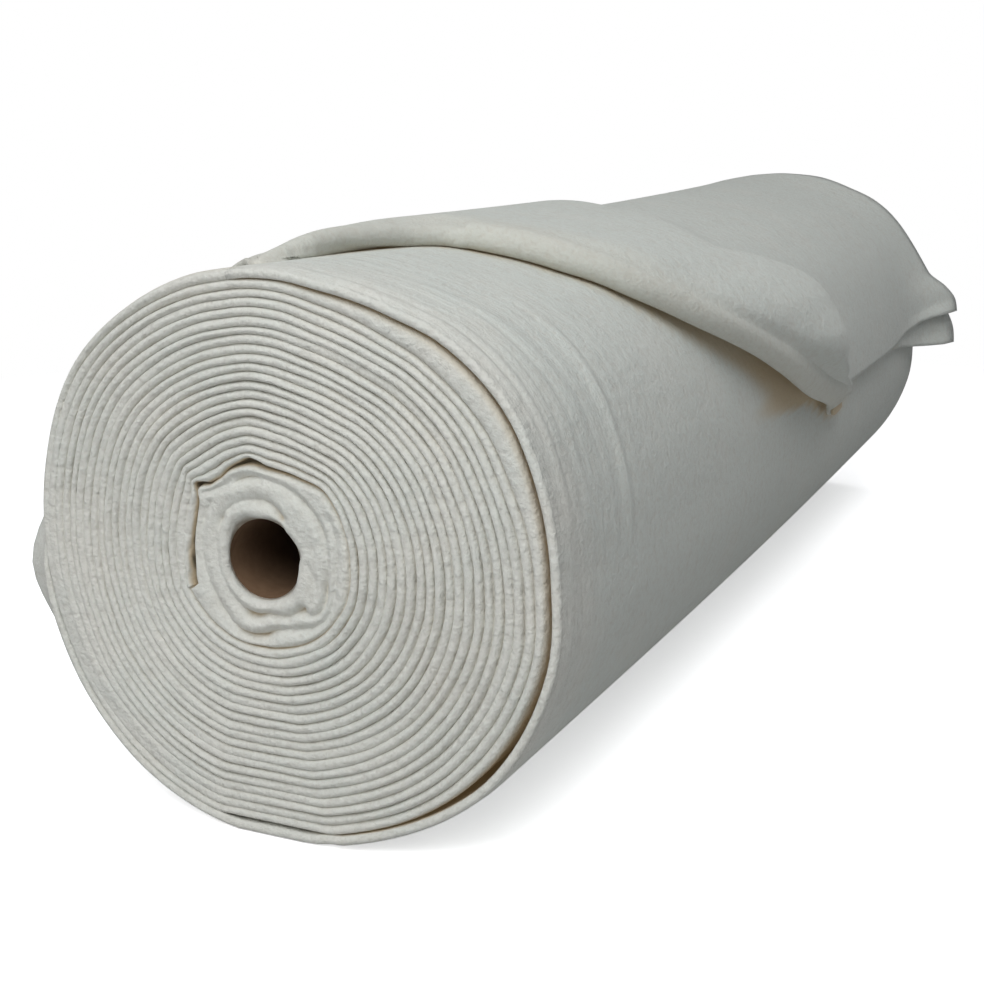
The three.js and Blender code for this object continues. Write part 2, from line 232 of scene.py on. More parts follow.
# How the cloth turns under where its edge leaves the near end: how far it has curled and how high the fold
# stands, by the way along the edge.
CORNER = table(
    "way curl rise",
    (0, 0, 0), (90, 0, 0), (120, 45, 1.5), (160, 95, 4), (200, 135, 7), (240, 162, 9), (275, 180, 10),
)

# How far the slanting fold stands off the roll near the free end.
STAND_OFF = table("turned lift", (400, 0), (415, 3), (426, 8), (436, 12), (445, 9), (451, 4))

# The shade under the slanting fold: how far it reaches out in front, and over how much it fades.
UNDER_SHADE = table(
    "turned reach soft",
    (355, 4, 12), (405, 6, 12), (425, 7, 12), (433, 9, 14), (441, 19, 16), (451, 38, 18), (458, 38, 18),
    (461, 18, 16), (465, 0, 12),
)

RIDGES_TURNED = 120  # the ridges end before here
RIDGES_BACK = 190
END_SLOPE = 10  # millimetres along the roll for a degree round it, at the slanting fold's far end
SHEET_START = -6  # where the sheet comes out of the step in the roll
CORNER_START = 330
EDGE_STEP = 4.4  # along the slanting edge
FINE = 40  # steps for each degree, by which the slanting edge is measured
ROW_STEPS = table("start end step", (SHEET_START, 62, 2.5), (62, 104, 1.25), (104, CORNER_START, 3))

# Ranges by degrees turned, each as its start, its rise, its fall and its end.
SQUARE_ROWS = (CORNER_START, 20, 28, 400)  # where rows set out square to the slanting edge
FANNED_ROWS = (318, 36, 33, 405)
SINKING = (310, 16, 16, 352)

ARC = 3.25  # length of a degree of cloth
FAN = 7  # degrees that the rows fan out behind the corner
FAN_REACH = 110
KNOT_STEP = 0.5  # degrees between the places where the cloth's height is worked out
TURN_REACH = 25
LEAST_RISE = 8  # least lengths of the cloth's parts behind the near bend
LEAST_LEVEL = 4
LEAST_SLOPE = 40
PLAIN_BEND = 20.6  # how far in the near bend's top is, where the corner isn't turned under
TURNED_BEND = 6
DROOP = 2.2  # how far the very edge of the cloth droops, and over what width
DROOP_REACH = 16
RISE_SHARES = ((0.24, 0.42), (0.6, 0.85))  # share of the way to the crest, and of the rise
CLIMB = 7  # how steeply the slanting fold goes on rising behind its near bend
CLIMB_REACH = 12


def clamp(value, low=0, high=1):
    return max(low, min(high, value))


def mix(a, b, share):
    return a + (b - a) * share


def smooth(value):
    value = clamp(value)
    return value * value * (3 - 2 * value)


def between(value, start, rise, fall, end):
    """1 between start and end and 0 outside them, with a soft rise and a soft fall."""
    return smooth((value - start) / rise) * smooth((end - value) / fall)


def read(rows, at, column):
    """A table's column, where its first column says so, on a smooth curve that never overshoots a row."""
    key = next(iter(rows[0]))
    i = 0
    while i < len(rows) - 2 and rows[i + 1][key] <= at:
        i += 1

    def slope(j):
        return (rows[j + 1][column] - rows[j][column]) / (rows[j + 1][key] - rows[j][key])

    def tangent(j):
        if j == 0 or j == len(rows) - 1:
            return 0
        before = slope(j - 1)
        after = slope(j)
        return 0 if before * after <= 0 else 2 * before * after / (before + after)

    span = rows[i + 1][key] - rows[i][key]
    t = clamp((at - rows[i][key]) / span)
    rest = 1 - t
    value = rows[i][column] * (1 + 2 * t) * rest * rest + rows[i + 1][column] * t * t * (3 - 2 * t)
    return value + tangent(i) * span * t * rest * rest - tangent(i + 1) * span * t * t * rest


def wrapped(angle):
    """The same angle, between the outline's first and last."""
    return (angle - FIRST_ANGLE) % 360 + FIRST_ANGLE


def roll_radius(angle, y):
    """Radius of the wound part, which sags on top and swells at the sides along its length."""
    along = clamp((y + HALF) / ROLL_LENGTH)
    middle = math.sin(math.pi * along)
    top = max(0, math.sin(math.radians(angle))) ** 1.5
    top_change = FAR_TOP_RISE * along**2 - TOP_SAG * middle
    return read(ROLL_OUTLINE, wrapped(angle), "radius") + mix(SIDE_SWELL * middle, top_change, top)


def flattened(radius, angle, height):
    """A radius cut back where the roll's weight presses it flat, this high above the floor."""
    down = -math.sin(math.radians(angle))
    return min(radius, (AXIS_HEIGHT - height) / down) if down > 0.5 else radius


def around_roll(angle, radius, y):
    turn = math.radians(angle)
    return Vector((radius * math.cos(turn), y, AXIS_HEIGHT + radius * math.sin(turn)))


def around_tube(angle, radius, y):
    turn = math.radians(angle)
    return Vector((TUBE_X + radius * math.cos(turn), y, TUBE_Z + radius * math.sin(turn)))


def ripple(x, y, z):
    """Soft unevenness between about -1 and 1, the same at each run."""
    return noise.noise(Vector((x, y, z))) * 1.6


# Shading


RAMP_SHIFT = 0.6  # added to a place along the roll, in metres, so that a ramp takes it from the near end on


def in_sums(operation, swapped=False):
    """A Signal's method for one sign in a sum."""

    def apply(self, other):
        first, second = (other, self) if swapped else (self, other)
        return self.maths(operation, first, second)

    return apply


class Signal:
    """A shader socket that can be used in sums like a number."""

    __add__ = __radd__ = in_sums("ADD")
    __sub__ = in_sums("SUBTRACT")
    __rsub__ = in_sums("SUBTRACT", swapped=True)
    __mul__ = __rmul__ = in_sums("MULTIPLY")
    __truediv__ = in_sums("DIVIDE")
    __rtruediv__ = in_sums("DIVIDE", swapped=True)

    def __init__(self, nodes, socket):
        self.nodes = nodes
        self.socket = socket

    def maths(self, operation, first, second):
        return self.nodes.add("ShaderNodeMath", {"operation": operation}, {0: first, 1: second})

    def other(self, name):
        """Another output of the same node."""
        return Signal(self.nodes, self.socket.node.outputs[name])


class Nodes:
    """A node tree being filled, node by node."""

    def __init__(self, tree):
        self.tree = tree
        tree.nodes.clear()

    def add(self, kind, settings=None, values=None, output=0):
        """Adds a node: its settings first, then its sockets' values or links. Gives one of its outputs."""
        made = self.tree.nodes.new(kind)
        for name, value in (settings or {}).items():
            setattr(made, name, value)
        for name, value in (values or {}).items():
            if isinstance(value, Signal):
                self.tree.links.new(value.socket, made.inputs[name])
            else:
                made.inputs[name].default_value = value
        return Signal(self, made.outputs[output]) if made.outputs else None

    def ramp(self, factor, *stops):
        """A grey ramp, with its stops given as place and value."""
        ramp = self.add("ShaderNodeValToRGB", None, {"Fac": factor})
        band = ramp.socket.node.color_ramp
        for element, (place, value) in zip((band.elements[0], band.elements[-1]), (stops[0], stops[-1])):
            element.position = place
            element.color = (value, value, value, 1)
        for place, value in stops[1:-1]:
            band.elements.new(place).color = (value, value, value, 1)
        return ramp

    def blend(self, factor, first, second):
        """Two colours mixed by a factor."""
        values = {0: factor, 6: first, 7: second}
        return self.add("ShaderNodeMix", {"data_type": "RGBA"}, values, output=2)

    def bump(self, strength, distance, height):
        values = {"Strength": strength, "Distance": distance, "Height": height}
        return self.add("ShaderNodeBump", None, values)

    def surface(self, values):
        """Ends the tree with a principled surface."""
        shader = self.add("ShaderNodeBsdfPrincipled", None, values)
        self.add("ShaderNodeOutputMaterial", None, {"Surface": shader})

    def noise(self, place, scale, detail, roughness, stretch=None):
        """A cloudy pattern from 0 to 1, which may be stretched along the axes."""
        if stretch:
            place = self.add("ShaderNodeMapping", None, {"Vector": place, "Scale": stretch})
        values = {"Vector": place, "Scale": scale, "Detail": detail, "Roughness": roughness}
        return self.add("ShaderNodeTexNoise", None, values)


def new_material(name, colour):
    """A node material, and its emptied tree."""
    material = bpy.data.materials.new(name)
    material.use_nodes = True
    material.diffuse_color = colour
    return material, Nodes(material.node_tree)


def batting_finish(colours):
    """Needled cotton: matt, with lumps, fluff, faint clouds and seed flecks, and with painted light: warm
    shade and a glow in its gaps and creases, near-black shade in its deepest pits, and a cool tint on all but
    the near end.
    """
    material, nodes = new_material("needled_batting", colours.batting)
    place = nodes.add("ShaderNodeTexCoord", output="Object")
    hollow = nodes.add("ShaderNodeAttribute", {"attribute_name": "hollow"}, output="Fac")
    clouds = nodes.noise(place, 16, 4, 0.6)
    lumps = nodes.noise(place, 130, 3, 0.6)
    fluff = nodes.noise(place, 330, 4, 0.65)
    fibres = nodes.noise(place, 1100, 3, 0.7)
    drawn = nodes.noise(place, 1, 3, 0.5, stretch=(6, 55, 6))
    seeds = nodes.add("ShaderNodeTexVoronoi", None, {"Vector": place, "Scale": 34}, output="Distance")

    behind = nodes.add("ShaderNodeSeparateXYZ", None, {"Vector": place}, output="Y") + RAMP_SHIFT
    # Painted cool light: behind the near end the batting is tinted cooler, as light from above makes it look;
    # the clouds are the batting's own uneven tone.
    back = nodes.ramp(behind, (0.036, 0), (0.1, 0.75))
    cool_clouds_and_painted_light = nodes.ramp(clouds, (0.35, 0), (0.68, 0.6)) + back
    tone = nodes.blend(cool_clouds_and_painted_light.maths("MINIMUM", cool_clouds_and_painted_light, 1), colours.batting, colours.batting_cool_and_painted_light)
    tone = nodes.blend(nodes.ramp(lumps, (0.32, 0.4), (0.5, 0)), tone, colours.batting_shade)
    tone = nodes.blend(nodes.ramp(fluff, (0.3, 0.6), (0.52, 0)), tone, colours.batting_shade)
    tone = nodes.blend(nodes.ramp(seeds, (0.012, 0.45), (0.028, 0)), tone, colours.fleck)
    # Painted shade, read from each vertex: warm in the gaps, creases and under the slanting fold, and near
    # black in the deepest pits.
    painted_warm_shade = nodes.ramp(hollow, (0, 0), (0.5, 1), (1, 1))
    painted_deep_shade = nodes.ramp(hollow, (0, 0), (0.55, 0), (1, 1))
    tone = nodes.blend(painted_warm_shade, tone, colours.gap)
    tone = nodes.blend(painted_deep_shade, tone, colours.pit)
    # A painted glow where warm shade is painted, standing in for light that comes through the batting; none
    # in the deepest pits.
    glow = nodes.blend(painted_warm_shade - painted_deep_shade, (0, 0, 0, 1), colours.gap_painted_glow)

    beside_edge = nodes.ramp(behind, (0.03, 1), (0.3, 0))
    near_end = nodes.ramp(behind, (0.03, 1), (0.04, 0))
    lumpy = lumps * (near_end * 1.1 + 0.9)
    relief = lumpy + fluff * 0.5 + fibres * 0.2 + clouds * 1.8 + drawn * beside_edge * 3.5
    values = {
        "Base Color": tone,
        "Roughness": 0.95,
        "Specular IOR Level": 0.1,
        "Sheen Weight": 0.15,
        "Sheen Roughness": 0.6,
        "Emission Color": glow,
        "Emission Strength": 1,
        "Normal": nodes.bump(0.75, 1.8 * MM, relief),
    }
    nodes.surface(values)
    return material


def paper_finish(colours):
    """Brown paper of a spiral-wound tube, with its plies' seams and fibre specks, and painted shade that
    turns it near black deep inside.
    """
    material, nodes = new_material("tube_paper", colours.paper)
    place = nodes.add("ShaderNodeTexCoord", output="Object")
    middle = (-TUBE_X * MM, 0, -TUBE_Z * MM)
    centred = nodes.add("ShaderNodeMapping", None, {"Vector": place, "Location": middle})
    x = nodes.add("ShaderNodeSeparateXYZ", None, {"Vector": centred})
    turn = x.other("Z").maths("ARCTAN2", x.other("Z"), x) / math.tau
    ply = x.other("Y") / (PLY_PITCH * MM) + turn
    seam = ply.maths("FRACT", ply, 0)
    grain = nodes.noise(centred, 140, 5, 0.65)
    line = nodes.ramp(seam, (0, 1), (0.035, 0), (1, 0))
    tone = nodes.blend(grain, colours.paper, colours.paper_dark)
    tone = nodes.blend(line * 0.6, tone, colours.paper_dark)
    # Painted shade: from a little inside the near end the paper darkens to near black, and stays so to the
    # far end.
    behind = x.other("Y") + RAMP_SHIFT
    painted_tube_shade = nodes.ramp(behind, (0.045, 0), (0.14, 1), (0.98, 1), (1, 0.9))
    tone = nodes.blend(painted_tube_shade, tone, colours.paper_painted_shade)
    bump = nodes.bump(0.4, 0.6 * MM, grain * 0.4 - line)
    nodes.surface({"Base Color": tone, "Roughness": 0.85, "Specular IOR Level": 0.25, "Normal": bump})
    return material


# Meshes


def moved_grid(bm, columns, rows, place):
    """Adds a grid whose vertices are put where place(column, row) says, in millimetres. Place also gives the
    shade that is painted on each vertex."""
    layer = bm.verts.layers.float["hollow"]
    for vert in bmesh.ops.create_grid(bm, x_segments=columns, y_segments=rows, size=1)["verts"]:
        column = round((vert.co.x + 1) / 2 * columns)
        row = round((vert.co.y + 1) / 2 * rows)
        point, hollow = place(column, row)
        vert.co = point * MM
        vert[layer] = hollow


def linked(name, data):
    """An object with this data, in the scene."""
    made = bpy.data.objects.new(name, data)
    bpy.context.scene.collection.objects.link(made)
    return made


def finished_piece(bm, name, material):
    """Closes a bmesh into a smooth object with one material, at the origin."""
    bmesh.ops.remove_doubles(bm, verts=bm.verts, dist=1e-6)
    bmesh.ops.recalc_face_normals(bm, faces=bm.faces)
    for face in bm.faces:
        face.smooth = True
    mesh = bpy.data.meshes.new(name)
    bm.to_mesh(mesh)
    bm.free()
    mesh.materials.append(material)
    return linked(name, mesh)


TUBE_STEPS = 96
STEPS = 216  # places round one turn
STEP_AT = 62  # places from the coil's start to where its last turn ends
COIL_START = STEP_ANGLE + STEP_AT * 360 / STEPS
NEAR_SHARES = (0, 0.04, 0.13, 0.28, 0.5, 0.72, 0.87, 0.96, 1)
FAR_SHARES = (0, 0.05, 0.25, 0.45, 0.5, 0.55, 0.75, 0.95, 1)
ACROSS = 8  # strips across one turn
COLLAR_STRIPS = 44
FOLDS_FADE = 7  # how soon the folds round the mouth fade outwards
WANDER = 0.45  # how far the turns stray from their even places
GROOVE_WAVE = 1.1  # how much the grooves' depth changes along the turns
GROOVE_SIDE = 0.7  # how much deeper the grooves are towards the right
RIM_DEPTH = 7
MOUTH_DEPTH = 5
FAR_MOUTH = 29.6
MOUTH_ROUNDED = 5.5
FAR_RING = 6  # width of a turn next to the tube at the far end
FAR_RING_DEPTH = 2
ROUNDED = 3.6  # width of a turn's rounded edge at the near end
# Radius and place along the roll of the inside round the tube, then the places along the outside.
WALL_STEPS = ((25.3, 8.3 - HALF), (28.9, 8.6 - HALF), (28.9, 20 - HALF), (28.9, HALF - 20))
SKIN_PLACES = (-HALF, 14 - HALF, 60 - HALF, -HALF / 2, 1, HALF / 2, HALF - 14, HALF)

# Where the last turn of cloth stands off the roll, and warm shade is painted beside it: start, rise, fall and
# end of the range, in degrees.
STANDS_OFF = (-82, 20, 14, 96)
STANDS_OFF_PAINTED_SHADE = 0.45
PAINTED_SHADE_REACH = 140  # how far the painted warm shade reaches along the roll

# Where the outermost turns run together at the near end: the middle of the place, its reach round the roll,
# the turns it takes up, and the share of the grooves' depth that is lost.
RUN_TOGETHER = {"angle": -160, "reach": 38, "turns": 3.4, "share": 0.65}


def nose(distance, radius):
    """How far a rounded edge has dropped at this distance from the groove: 1 in it and 0 on the flat."""
    rest = clamp(1 - distance / radius)
    return 0.55 * (1 - math.sqrt(1 - rest * rest)) + 0.45 * rest**2


def crease_depth(x, z):
    """Depth of the creases round the mouth, where the deepest one near by counts."""
    deepest = 0
    for crease in CREASES:
        for start, end in zip(crease, crease[1:]):
            dx, dz = end["x"] - start["x"], end["z"] - start["z"]
            share = clamp(((x - start["x"]) * dx + (z - start["z"]) * dz) / (dx * dx + dz * dz))
            distance = math.hypot(x - start["x"] - share * dx, z - start["z"] - share * dz)
            width = mix(start["width"], end["width"], share)
            if distance < width:
                depth = mix(start["depth"], end["depth"], share)
                soft = mix(nose(distance, width), (1 - distance / width) ** 1.5, 0.6)
                deepest = max(deepest, depth * soft)
    return deepest


class Coil:
    """Shape of the wound part's ends and skin. Places round the coil are counted clockwise from its start
    line, and k counts the turns outwards."""

    def __init__(self, turns, groove):
        self.turns = turns
        self.groove = groove
        names = [name for name in CORE[0] if name != "turned"]
        self.core = [
            {name: read(CORE, 360 * i / STEPS, name) for name in names} for i in range(STEPS)
        ]
        self.outlines = {}

    def angle(self, i):
        """Angle round the roll, a hair before the step at the coil's last place."""
        return COIL_START - 360 * i / STEPS + 1e-6

    def count(self, i):
        """Turns between the start line and the outline."""
        return self.turns + 1 if i <= STEP_AT else self.turns

    def outline(self, i, y):
        """Point of the skin, and how much wider the outermost turn is there."""
        if (i, y) not in self.outlines:
            angle = self.angle(i)
            radius = flattened(roll_radius(angle, y), angle, DOUBLED + UNDER_GAP)
            extra = read(WIDE_TURN, wrapped(angle), "extra")
            self.outlines[i, y] = (around_roll(angle, radius, y), extra)
        return self.outlines[i, y]

    def line(self, i, k, y, far):
        """Point on the line that is k turns out."""
        count = self.count(i)
        core = self.core[i]
        outer, extra = self.outline(i, y)
        if k <= count - 1:
            share = k / (count + extra)
        else:
            share = (count - 1 + (k - count + 1) * (1 + extra)) / (count + extra)
        folds = 0 if far else (core["coil"] - core["plain"]) * (1 - share) ** FOLDS_FADE
        inner = around_tube(self.angle(i), core["plain"] + folds, y)
        turn = math.radians(self.angle(i))
        out = Vector((math.cos(turn), 0, math.sin(turn)))
        travelled = k + i / STEPS
        uneven = WANDER * clamp(travelled) * clamp(count - k)
        wave = ripple(2.2 * out.x, 2.2 * out.z + (9 if far else 0), travelled * 0.8)
        wave += 0.5 * ripple(7 * out.x, 7 * out.z, travelled * 3)
        return inner.lerp(outer, share) + out * uneven * wave

    def groove_depth(self, i, k, far):
        """Depth of the groove on the line that is k turns out."""
        turn = math.radians(self.angle(i))
        wave = ripple(1.7 * math.cos(turn), 1.7 * math.sin(turn) + 5, (k + i / STEPS) * 1.1)
        depth = self.groove + GROOVE_WAVE * wave
        inside = self.count(i) - k
        if not far:
            beside = (wrapped(self.angle(i)) - RUN_TOGETHER["angle"]) / RUN_TOGETHER["reach"]
            outer = smooth(RUN_TOGETHER["turns"] - inside) * math.exp(-(beside**2))
            depth = (depth + GROOVE_SIDE * math.cos(turn - 0.3)) * (1 - RUN_TOGETHER["share"] * outer)
            depth = mix(self.core[i]["pit"], depth, clamp(k))
        return mix(RIM_DEPTH, depth, clamp(inside))

    def stands_off(self, i):
        """How much the last turn of cloth stands off here, where a warm line of shade is painted."""
        return between(wrapped(self.angle(i)), *STANDS_OFF)

    def coil_place(self, column, share, side):
        """Place on one end: along the coil, and across its own turn."""
        turn = column // STEPS
        i = column % STEPS
        far = side > 0
        low = self.line(i, turn, side * HALF, far)
        high = self.line(i, turn + 1, side * HALF, far)
        width = (high - low).length
        angle = math.radians(self.angle(i))
        x, z = math.cos(angle), math.sin(angle)
        along = column / STEPS
        top = 1.2 + 0.9 * ripple(1.3 * x, 1.3 * z, along * 2.1) + 0.5 * ripple(0.1, 0.2, along * 3.7)
        middle = 0
        if far:
            layer = 0 if share < 0.5 else 1
            top += 0.9 * ripple(3 * x, 3 * z, along * 2.3 + layer * 7.7)
            middle = 1.4 * nose(abs(share - 0.5) * width, 0.16 * width)
            reach, gap = 0.2 * width, 0
        else:
            reach, gap = min(width / 2, ROUNDED), self.core[i]["gap"] * clamp(1 - turn)
        inward = nose(max(0, share * width - gap), reach)
        outward = nose((1 - share) * width, reach)
        below = self.groove_depth(i, turn, far)
        above = self.groove_depth(i, turn + 1, far)
        depth = top + middle + (below - top) * inward + (above - top) * outward
        point = self.line(i, turn + share, side * HALF, far)
        point.y = side * (HALF - depth)
        if far:
            return point, 0
        # Painted shade: a warm line beside the gap where the last turn stands off, light shade in the
        # grooves, and dark shade in the pits next to the tube.
        last = turn + i / STEPS > self.turns - 1 + STEP_AT / STEPS
        beside_gap = 0.26 * smooth((share - 0.62) / 0.38) * self.stands_off(i) if last else 0
        groove = 0.1 * clamp((depth - 2.2) / 3)
        pit = clamp((depth - 3.5) / 3.5) * clamp(1.4 - turn)
        return point, max(beside_gap, groove, pit)

    def collar_place(self, column, row, side):
        """Place on the end of the turns next to the tube, which close on themselves."""
        far = side > 0
        i = column % STEPS
        core = self.core[i]
        angle = math.radians(self.angle(i))
        edge = self.line(i, 0, 0, far) - Vector((TUBE_X, 0, TUBE_Z))
        low, high = FAR_MOUTH if far else core["mouth"], math.hypot(edge.x, edge.z)
        radius = mix(low, high, row / COLLAR_STRIPS)
        top = 1.4 + 0.6 * ripple(1.6 * math.cos(angle), 1.6 * math.sin(angle), radius * 0.06)
        gap = 0 if far else core["gap"]
        inward = nose(radius - low, MOUTH_ROUNDED)
        outward = nose(max(0, high - radius - gap), 2.5 if far else 4)
        above = self.groove_depth(i, 0, far)
        depth = top + (MOUTH_DEPTH - top) * inward + (above - top) * outward
        point = around_tube(self.angle(i), radius, 0)
        if far:
            from_groove = abs((radius - low + FAR_RING / 2) % FAR_RING - FAR_RING / 2)
            depth += FAR_RING_DEPTH * nose(from_groove, 2) * (1 - max(inward, outward))
        else:
            crease = crease_depth(point.x, point.z)
            depth = max(depth, mix(top + crease, depth, max(inward, outward) ** 0.5))
        point.y = side * (HALF - depth)
        if far:
            return point, 0
        # Painted shade in the creases round the mouth, and in the grooves and hollows at the coil's outer
        # edge.
        folds = 0.45 * clamp(crease / 6.5) ** 4
        return point, max(folds, 0.15 * outward, clamp((depth - 3.5) / 3.5) * outward)

    def skin_place(self, column, y):
        """Place on the outside, whose last columns run down the step where the last turn leaves the roll."""
        side = math.copysign(1, y)
        if column <= STEPS:
            strip, share = (self.turns - 1) * STEPS + STEP_AT + column, 1
        else:
            shares = FAR_SHARES if y == HALF else NEAR_SHARES
            strip, share = self.turns * STEPS + STEP_AT, shares[ACROSS + STEPS - column]
        # Painted warm shade where the last turn stands off, fading along the roll from the near end.
        if abs(y) == HALF:
            point, hollow = self.coil_place(strip, share, side)
            return point, max(hollow, STANDS_OFF_PAINTED_SHADE * self.stands_off(strip % STEPS)) if side < 0 else 0
        point = self.line(strip % STEPS, strip // STEPS + share, y, True)
        hollow = STANDS_OFF_PAINTED_SHADE * self.stands_off(strip % STEPS)
        return point, hollow * clamp(1 - (y + HALF) / PAINTED_SHADE_REACH)


def wound_turns_mesh(turns, groove):
    """The wound part: both ends with their turns, the outside, and the inside round the tube."""
    coil = Coil(turns, groove)
    bm = bmesh.new()
    bm.verts.layers.float.new("hollow")
    length = turns * STEPS + STEP_AT
    for side, shares in ((-1, NEAR_SHARES), (1, FAR_SHARES)):
        moved_grid(bm, length, ACROSS, lambda c, r: coil.coil_place(c, shares[r], side))
        moved_grid(bm, STEPS, COLLAR_STRIPS, lambda c, r: coil.collar_place(c, r, side))

    moved_grid(bm, STEPS + ACROSS, len(SKIN_PLACES) - 1, lambda c, r: coil.skin_place(c, SKIN_PLACES[r]))

    def wall(column, row):
        if row in (0, 5):
            return coil.collar_place(column, 0, -1 if row == 0 else 1)
        # The inside round the tube gets a little painted shade.
        return around_tube(coil.angle(column % STEPS), *WALL_STEPS[row - 1]), 0.3

    moved_grid(bm, STEPS, 5, wall)
    bmesh.ops.remove_doubles(bm, verts=bm.verts, dist=1e-6)
    rims = [edge for edge in bm.edges if edge.is_boundary]
    bmesh.ops.holes_fill(bm, edges=rims, sides=2 * ACROSS + 4)
    return bm


def cloth_row(turned):
    """The sizes of the loose end's section at one place along the cloth."""
    row = {"turned": turned}
    for rows in (LAST_TURN, TURNED_UNDER, FAR_EDGE):
        for column in rows[0]:
            if column != "turned":
                row[column] = read(rows, turned, column)
    return row


def sheet_rows():
    """Rows of the loose end: each row's sizes, the way its edge lies, and the way the row sets out."""
    rows = []
    for part in ROW_STEPS:
        count = round((part["end"] - part["start"]) / part["step"])
        turns = [mix(part["start"], part["end"], i / count) for i in range(count)]
        rows += [cloth_row(turned) | {"way": 0} for turned in turns]
    places = [CORNER_START + i / FINE for i in range((LAST_TURNED - CORNER_START) * FINE + 1)]
    ways = [0]
    backs = [read(LAST_TURN, turned, "back") for turned in places]
    for before, after in zip(backs, backs[1:]):
        ways.append(ways[-1] + math.hypot(ARC / FINE, after - before))
    count = round(ways[-1] / EDGE_STEP)
    j = 0
    for i in range(count + 1):
        way = ways[-1] * i / count
        while j < len(ways) - 1 and ways[j] < way:
            j += 1
        rows.append(cloth_row(places[j]) | {"way": way})

    for i, row in enumerate(rows):
        before, after = rows[max(i - 3, 0)], rows[min(i + 3, len(rows) - 1)]
        travelled = (after["turned"] - before["turned"]) * ARC
        along = Vector((travelled, after["back"] - before["back"])).normalized()
        across = Vector((-along.y, along.x))
        square = between(row["turned"], *SQUARE_ROWS)
        out = Vector((0, 1)).lerp(across, square).normalized()
        row["out"] = out
        row["stretch"] = 1 / max(out.dot(across), 1 / MOST_STRETCH)
        row["far_turned"] = row["turned"] - FAN * between(row["turned"], *FANNED_ROWS)
        row["corner"] = clamp((row["turned"] - CORNER_START) / 10) * smooth((372 - row["turned"]) / 8)
    return rows


def lying_ends(row, bend_top):
    """Distances in from the near edge to the ends of the lying cloth's parts: the near bend, the rise to
    the crest, the level part, the slope to its foot, two flat halves, and two lifted halves."""
    length = ROLL_LENGTH + row["over"] - row["back"]
    crest = max(row["crest_at"], bend_top + LEAST_RISE)
    level = max(row["level_to"], crest + LEAST_LEVEL)
    foot = max(row["foot"], level + LEAST_SLOPE)
    lifted = length - FAR_LIFT_REACH
    return bend_top, crest, level, foot, mix(foot, lifted, 0.5), lifted, length - FAR_LIFT_REACH / 2, length


def height_knots(row, half):
    """Middle height of the doubled cloth behind its near bend."""
    reach = row["stretch"] * (half + TURNED_BEND if row["curl"] > 90 else PLAIN_BEND)
    top = half + (row["loop"] if row["curl"] > 90 else 0)
    crest = max(row["crest"] - half, top)
    climb = CLIMB * smooth((row["turned"] - 400) / 12)
    places = [row["back"] + end for end in lying_ends(row, reach)]
    lift = row["lift"]
    heights = (top, crest, crest, half, half, half, half + lift / 4, half + lift)
    start, crest_y = places[0], places[1]
    return table(
        "y height",
        (start - CLIMB_REACH, top - climb),
        (start, top),
        *[(mix(start, crest_y, way), mix(top, crest, rise)) for way, rise in RISE_SHARES],
        *zip(places[1:], heights[1:]),
    )


class ClothHeights:
    """Middle height of the doubled cloth over what it lies on, anywhere behind the near bend."""

    def __init__(self, half):
        self.half = half
        self.knots = {}

    def at_step(self, i):
        if i not in self.knots:
            turned = clamp(i * KNOT_STEP, 0, LAST_TURNED)
            row = cloth_row(turned)
            before = read(LAST_TURN, turned - KNOT_STEP, "back")
            after = read(LAST_TURN, min(LAST_TURNED, turned + KNOT_STEP), "back")
            slope = (after - before) / (2 * KNOT_STEP * ARC)
            row["stretch"] = min(MOST_STRETCH, math.hypot(1, slope))
            self.knots[i] = height_knots(row, self.half)
        return self.knots[i]

    def at(self, turned, y):
        place = turned / KNOT_STEP
        low = math.floor(place)
        a = read(self.at_step(low), y, "height")
        b = read(self.at_step(low + 1), y, "height")
        return mix(a, b, place - low)


# How many strips of the grid each part of the cloth's two layers and of its near fold takes.
UPPER = {"stub": 5, "bend": 10, "rise": 30, "level": 13, "fall": 12, "flat": 12, "far": 4}
LOWER = {"stub": 5, "bend": 10, "rise": 5, "level": 3, "fall": 3, "flat": 2, "far": 3}
FOLD = 6


def cloth_path(row, half, counts):
    """The doubled cloth's middle line across its width. Each point has its distance in from the near edge,
    its height, its share of the near bend's shift, and how far it takes the height of the lying cloth."""
    stretch = row["stretch"]
    corner = row["corner"]
    curl = mix(row["curl"], read(CORNER, row["way"], "curl"), corner)
    curl = max(math.radians(curl), 0.001)
    if corner > 0.001:
        stub = mix(STUB, 8 * curl / math.pi + 1, corner)
        rise = mix(row["loop"], read(CORNER, row["way"], "rise"), corner)
        lift = 1 - math.cos(curl)
        bend = clamp((rise - stub * math.sin(curl)) / max(lift, 0.02), 3.5, 12.5 / curl)
    else:
        bend = math.pi * row["loop"] / 2 / curl
        room = mix(row["level_to"], row["foot"], HEM_SHARE)
        stub = STUB + row["tuck"] * max(0, room - STUB)
    reach = bend * math.sin(curl) + stub * math.cos(curl) if curl < math.pi / 2 else bend
    top = half + bend * (1 - math.cos(curl)) + stub * math.sin(curl)
    bend_top = stretch * (half + reach)
    bend_end = (bend_top - stretch * bend * math.sin(curl), top - bend * (1 - math.cos(curl)))
    path = []
    for i in range(counts["stub"]):
        left = stub * (1 - i / counts["stub"])
        path.append((bend_end[0] - left * math.cos(curl), bend_end[1] - left * math.sin(curl), 1, 0))
    for i in range(counts["bend"]):
        turn = curl * (1 - i / counts["bend"])
        point = (bend_top - stretch * bend * math.sin(turn), top - bend * (1 - math.cos(turn)))
        path.append((*point, clamp(turn / curl), 0))

    ends = lying_ends(row, bend_top)
    names = ("rise", "level", "fall", "flat", "flat", "far", "far")
    for start, end, name in zip(ends, ends[1:], names):
        for i in range(counts[name]):
            inward = mix(start, end, i / counts[name])
            path.append((inward, top, 0, smooth((inward - bend_top) / 22)))
    path.append((ends[-1], top, 0, 1))
    return path


